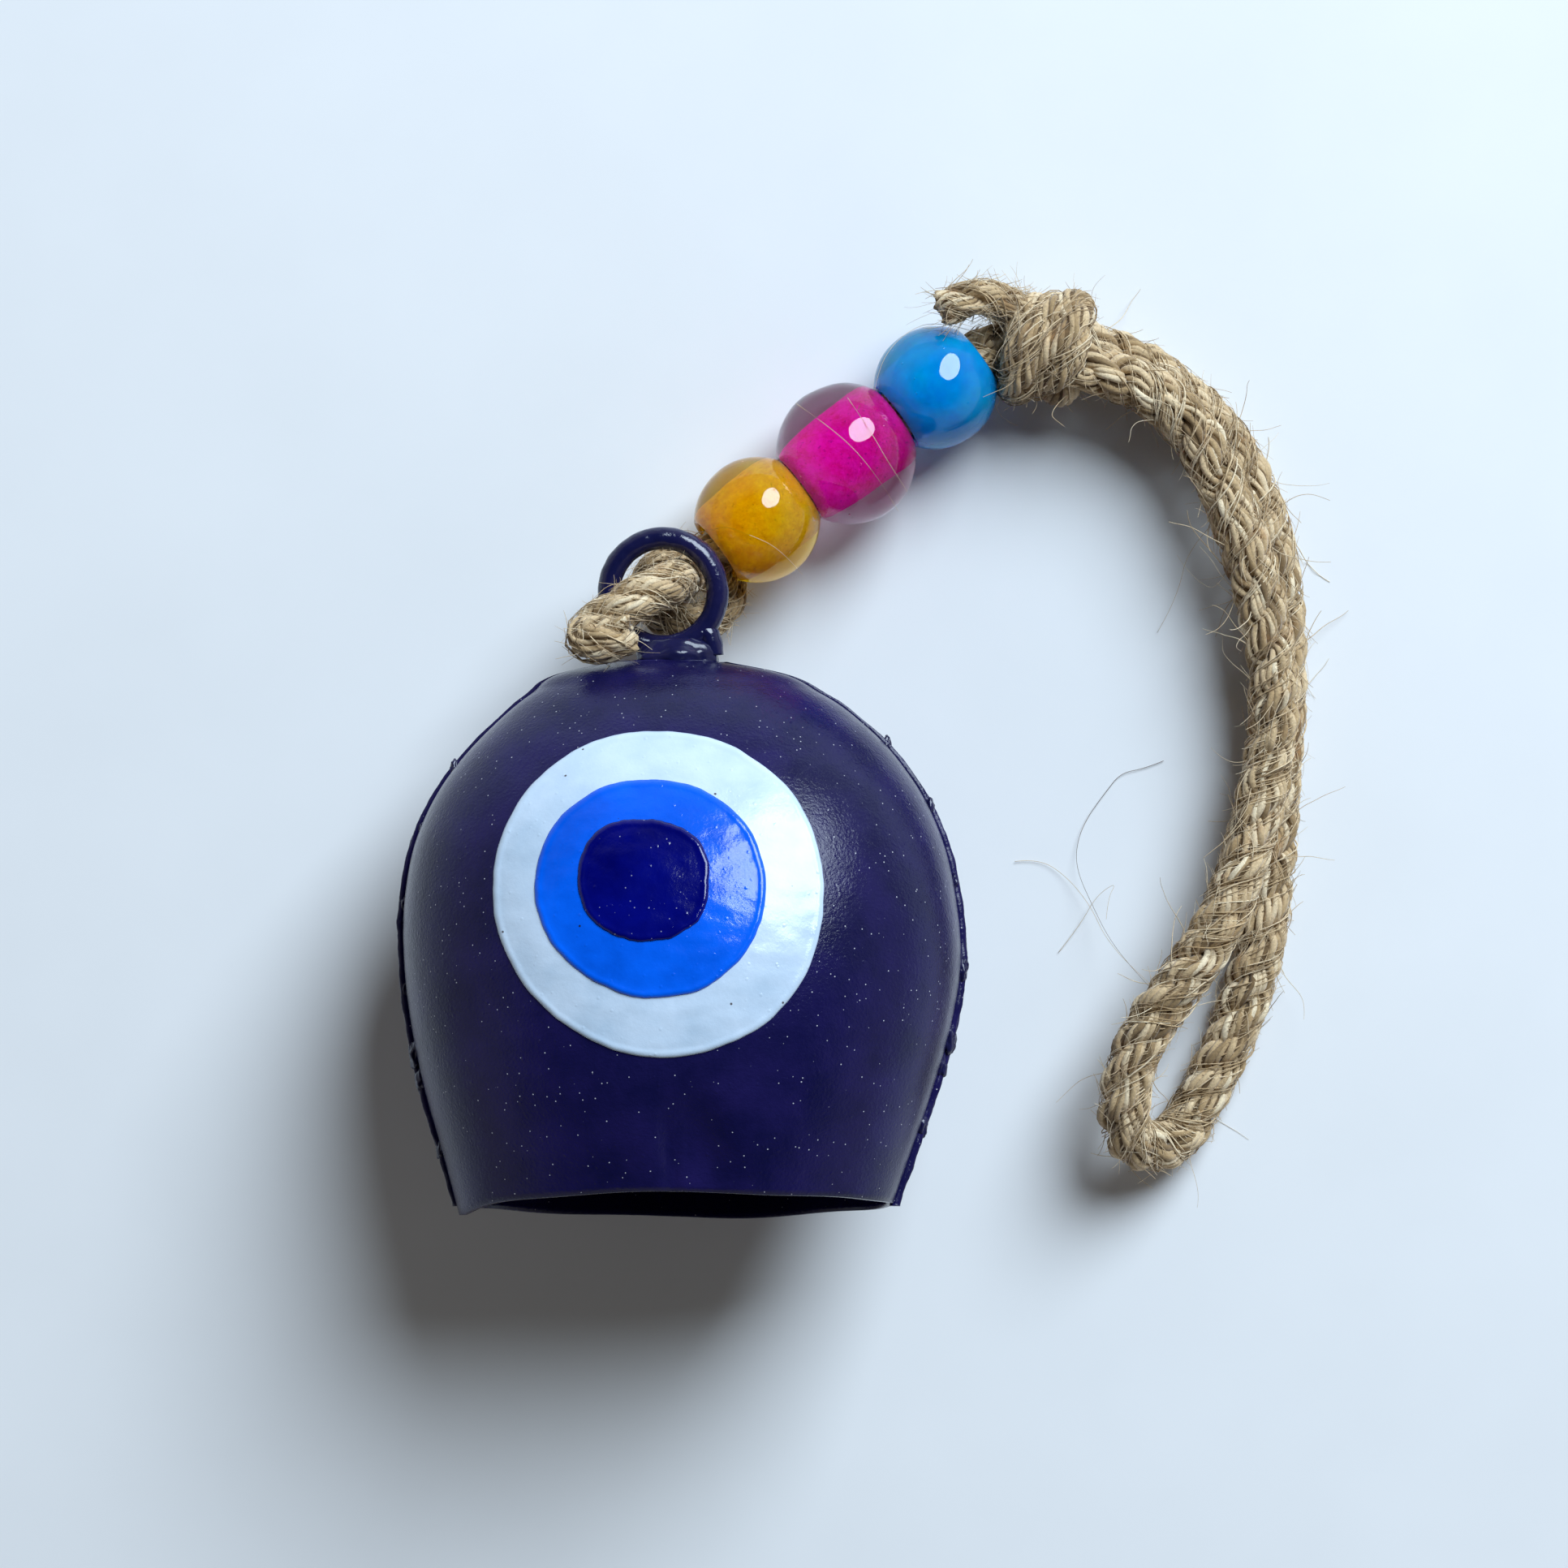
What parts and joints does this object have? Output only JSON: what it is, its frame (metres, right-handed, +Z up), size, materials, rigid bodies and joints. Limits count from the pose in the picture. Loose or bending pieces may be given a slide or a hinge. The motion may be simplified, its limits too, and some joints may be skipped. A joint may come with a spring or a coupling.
{
  "type": "evil eye bell ornament",
  "caption": "Small pressed-tin bell painted navy with a hand-painted evil eye, hung on a knotted jute strap with three glass beads.",
  "frame": {"origin": "on the surface the bell lies on, under the middle of the bell and its ring (the strap and beads not counted)", "axes": "+X to the right of the bell, +Y from the mouth towards the hanging ring, +Z up from the surface"},
  "size_m": [0.0822, 0.0851, 0.0366],
  "materials": {
    "shell_paint": "semi-gloss navy enamel over tin plate",
    "braze": "lumpy braze under glossy navy enamel",
    "ring_paint": "glossy navy enamel on steel wire",
    "white_enamel": "hand-brushed white enamel",
    "blue_enamel": "hand-brushed bright blue enamel",
    "pupil_enamel": "hand-brushed dark blue enamel",
    "clapper_wire": "dull steel wire",
    "striker_iron": "dark rough iron",
    "amber_glass": "clear amber glass",
    "amber_coat": "amber colour lining",
    "magenta_glass": "pale mauve clear glass",
    "magenta_coat": "magenta colour lining",
    "turquoise_glass": "azure blue glass",
    "turquoise_coat": "azure colour lining",
    "jute": "three-strand twisted jute"
  },
  "bodies": {
    "bell": {"front_shell": "shell_paint", "back_shell": "shell_paint", "seam_braze_left": "braze", "seam_braze_right": "braze", "braze_lumps_left": "braze", "braze_lumps_right": "braze", "crown_braze": "braze", "hanging_ring": "ring_paint", "clapper_hook": "clapper_wire", "eye_white": "white_enamel", "eye_blue": "blue_enamel", "eye_pupil": "pupil_enamel"},
    "link": {"clapper_link": "clapper_wire"},
    "clapper": {"clapper_rod": "clapper_wire", "clapper_striker": "striker_iron"},
    "strap": {"cord_bead_run": "jute", "ring_knot": "jute", "ring_hitch": "jute", "bead_knot": "jute", "knot_tail": "jute", "cord_loop": "jute"},
    "amber": {"bead_amber": "amber_glass", "bead_amber_lining": "amber_coat"},
    "magenta": {"bead_magenta": "magenta_glass", "bead_magenta_lining": "magenta_coat"},
    "turquoise": {"bead_turquoise": "turquoise_glass", "bead_turquoise_lining": "turquoise_coat"}
  },
  "joints": [
    {"name": "clapper_swing", "type": "hinge", "parent": "bell", "child": "link", "pos_m": [-0.0014, 0.01386, 0.01494], "axis": [-1, 0, 0], "range_deg": [0, 46]},
    {"name": "clapper_sideways", "type": "hinge", "parent": "link", "child": "clapper", "pos_m": [-0.0014, 0.00808, 0.01335], "axis": [0, -0.2656, 0.9641], "range_deg": [-8, 8]},
    {"name": "strap_swing", "type": "hinge", "parent": "bell", "child": "strap", "pos_m": [-0.0018, 0.0247, 0.0142], "axis": [0, 0, 1], "range_deg": [-8, 0]},
    {"name": "amber_spin", "type": "hinge", "parent": "strap", "child": "amber", "pos_m": [0.0065, 0.03143, 0.008], "axis": [0.7969, 0.5959, -0.099], "continuous": true},
    {"name": "magenta_spin", "type": "hinge", "parent": "strap", "child": "magenta", "pos_m": [0.01455, 0.03745, 0.007], "axis": [0.7969, 0.5959, -0.099], "continuous": true},
    {"name": "turquoise_spin", "type": "hinge", "parent": "strap", "child": "turquoise", "pos_m": [0.0226, 0.04347, 0.006], "axis": [0.7969, 0.5959, -0.099], "continuous": true}
  ]
}
